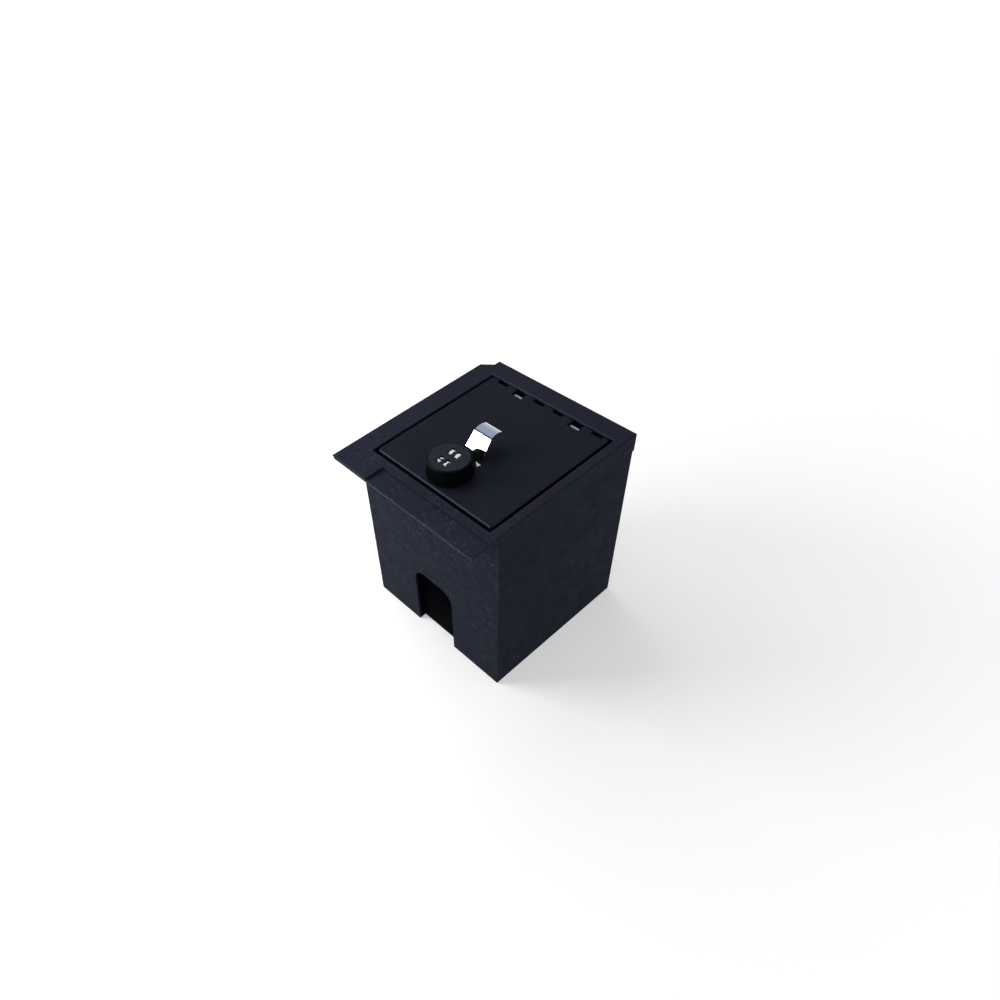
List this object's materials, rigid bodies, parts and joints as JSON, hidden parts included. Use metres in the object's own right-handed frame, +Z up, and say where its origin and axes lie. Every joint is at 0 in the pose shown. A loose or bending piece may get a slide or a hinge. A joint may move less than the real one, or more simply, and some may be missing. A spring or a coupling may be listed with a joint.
{
  "type": "console safe",
  "caption": "Deep steel safe for a vehicle console, with a front ledge, a flush hinged lid, a combination knob beside a bent finger pull, and an arched notch at the foot of its front wall.",
  "frame": {"origin": "centre of the box's underside, between its side walls and between its front and back walls", "axes": "+Z up, out of the box's mouth; +Y to the hinge; +X to the right when seen from the ledge side"},
  "size_m": [0.2, 0.2282, 0.2612],
  "materials": {
    "steel_textured": "wrinkle powder coat",
    "steel_black": "fine satin powder coat",
    "chrome": "polished",
    "zinc": "bright zinc plate",
    "plastic_black": "semi-matt moulded",
    "wheel_black": "matt moulded",
    "rubber": "matt",
    "mark_white": "white enamel"
  },
  "bodies": {
    "box": {"body_shell": "steel_textured", "notch_pocket": "steel_textured", "front_ledge": "steel_textured", "top_cover": "steel_black", "lid_seat": "steel_black", "strike_plate": "zinc", "lid_bumper_1": "rubber", "lid_bumper_2": "rubber", "lid_bumper_3": "rubber", "lid_bumper_4": "rubber", "floor_mat": "rubber", "mount_plug_1": "plastic_black", "mount_plug_2": "plastic_black", "mount_plug_3": "plastic_black", "mount_plug_4": "plastic_black", "hinge_leaf_body": "steel_black", "hinge_sleeve_1": "zinc", "hinge_sleeve_2": "zinc", "hinge_pin": "zinc", "body_leaf_rivet_1": "zinc", "body_leaf_rivet_2": "zinc", "body_leaf_rivet_3": "zinc"},
    "lid": {"lid_plate": "steel_black", "lid_rim": "steel_black", "lid_stiffener": "steel_black", "hinge_leaf_lid": "steel_black", "lid_leaf_rivet_1": "zinc", "lid_leaf_rivet_2": "zinc", "lid_leaf_rivet_3": "zinc", "turn_mark": "mark_white", "finger_pull": "chrome", "lock_housing": "zinc", "knob_base_ring": "plastic_black", "lock_washer": "zinc", "lock_nut": "zinc"},
    "knob": {"knob_body": "plastic_black", "knob_face": "plastic_black", "lock_spindle": "zinc", "lock_cam": "zinc", "cam_screw": "zinc", "wheel_axle_1": "zinc", "wheel_axle_2": "zinc"},
    "wheel_1": {"number_wheel_1": "wheel_black"},
    "wheel_2": {"number_wheel_2": "wheel_black"},
    "wheel_3": {"number_wheel_3": "wheel_black"},
    "wheel_4": {"number_wheel_4": "wheel_black"}
  },
  "joints": [
    {"name": "lid_hinge", "type": "hinge", "parent": "box", "child": "lid", "pos_m": [0.009, 0.0666, 0.2335], "axis": [-1, 0, 0], "range_deg": [0, 100]},
    {"name": "knob_turn", "type": "hinge", "parent": "lid", "child": "knob", "pos_m": [0.0068, -0.068, 0.2434], "axis": [0, 0, -1], "range_deg": [0, 90]},
    {"name": "wheel_turn_1", "type": "hinge", "parent": "knob", "child": "wheel_1", "pos_m": [0.0026, -0.0605, 0.2526], "axis": [1, 0, 0], "continuous": true},
    {"name": "wheel_turn_2", "type": "hinge", "parent": "knob", "child": "wheel_2", "pos_m": [0.011, -0.0605, 0.2526], "axis": [1, 0, 0], "continuous": true},
    {"name": "wheel_turn_3", "type": "hinge", "parent": "knob", "child": "wheel_3", "pos_m": [0.0026, -0.0755, 0.2526], "axis": [1, 0, 0], "continuous": true},
    {"name": "wheel_turn_4", "type": "hinge", "parent": "knob", "child": "wheel_4", "pos_m": [0.011, -0.0755, 0.2526], "axis": [1, 0, 0], "continuous": true}
  ]
}
